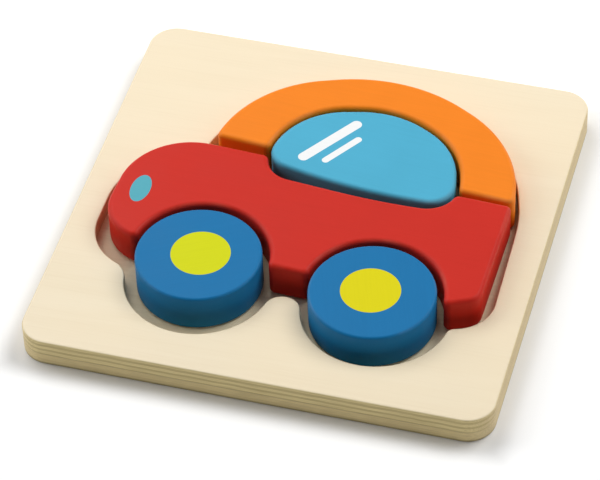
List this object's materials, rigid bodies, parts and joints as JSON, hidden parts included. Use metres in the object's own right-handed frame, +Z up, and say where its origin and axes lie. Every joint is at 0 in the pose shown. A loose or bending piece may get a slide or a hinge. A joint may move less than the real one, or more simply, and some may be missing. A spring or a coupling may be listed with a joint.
{
  "type": "wooden car puzzle",
  "caption": "Square wooden tray puzzle whose lift-out pieces make a small car: body, roof, window and wheels.",
  "frame": {"origin": "middle of the tray's underside", "axes": "+Z up out of the recess, the tray's front edge faces -Y, the car faces -X"},
  "size_m": [0.15, 0.15, 0.0171],
  "materials": {
    "backing_wood": "bare sanded board",
    "pale_plywood": "clear lacquered pale plywood",
    "red_paint": "satin red paint",
    "orange_paint": "satin orange paint",
    "sky_blue_paint": "satin sky blue paint",
    "blue_paint": "satin blue paint"
  },
  "bodies": {
    "tray": {"backing_board": "backing_wood", "tray_frame": "pale_plywood"},
    "body_piece": {"car_body": "red_paint"},
    "roof_piece": {"car_roof": "orange_paint"},
    "window_piece": {"car_window": "sky_blue_paint"},
    "front_wheel_piece": {"front_wheel": "blue_paint"},
    "rear_wheel_piece": {"rear_wheel": "blue_paint"}
  },
  "joints": [
    {"name": "body_lift", "type": "slide", "parent": "tray", "child": "body_piece", "axis": [0, 0, 1], "range_m": [0, 0.03]},
    {"name": "roof_lift", "type": "slide", "parent": "tray", "child": "roof_piece", "axis": [0, 0, 1], "range_m": [0, 0.03]},
    {"name": "window_lift", "type": "slide", "parent": "tray", "child": "window_piece", "axis": [0, 0, 1], "range_m": [0, 0.03]},
    {"name": "front_wheel_lift", "type": "slide", "parent": "tray", "child": "front_wheel_piece", "axis": [0, 0, 1], "range_m": [0, 0.03]},
    {"name": "rear_wheel_lift", "type": "slide", "parent": "tray", "child": "rear_wheel_piece", "axis": [0, 0, 1], "range_m": [0, 0.03]}
  ]
}
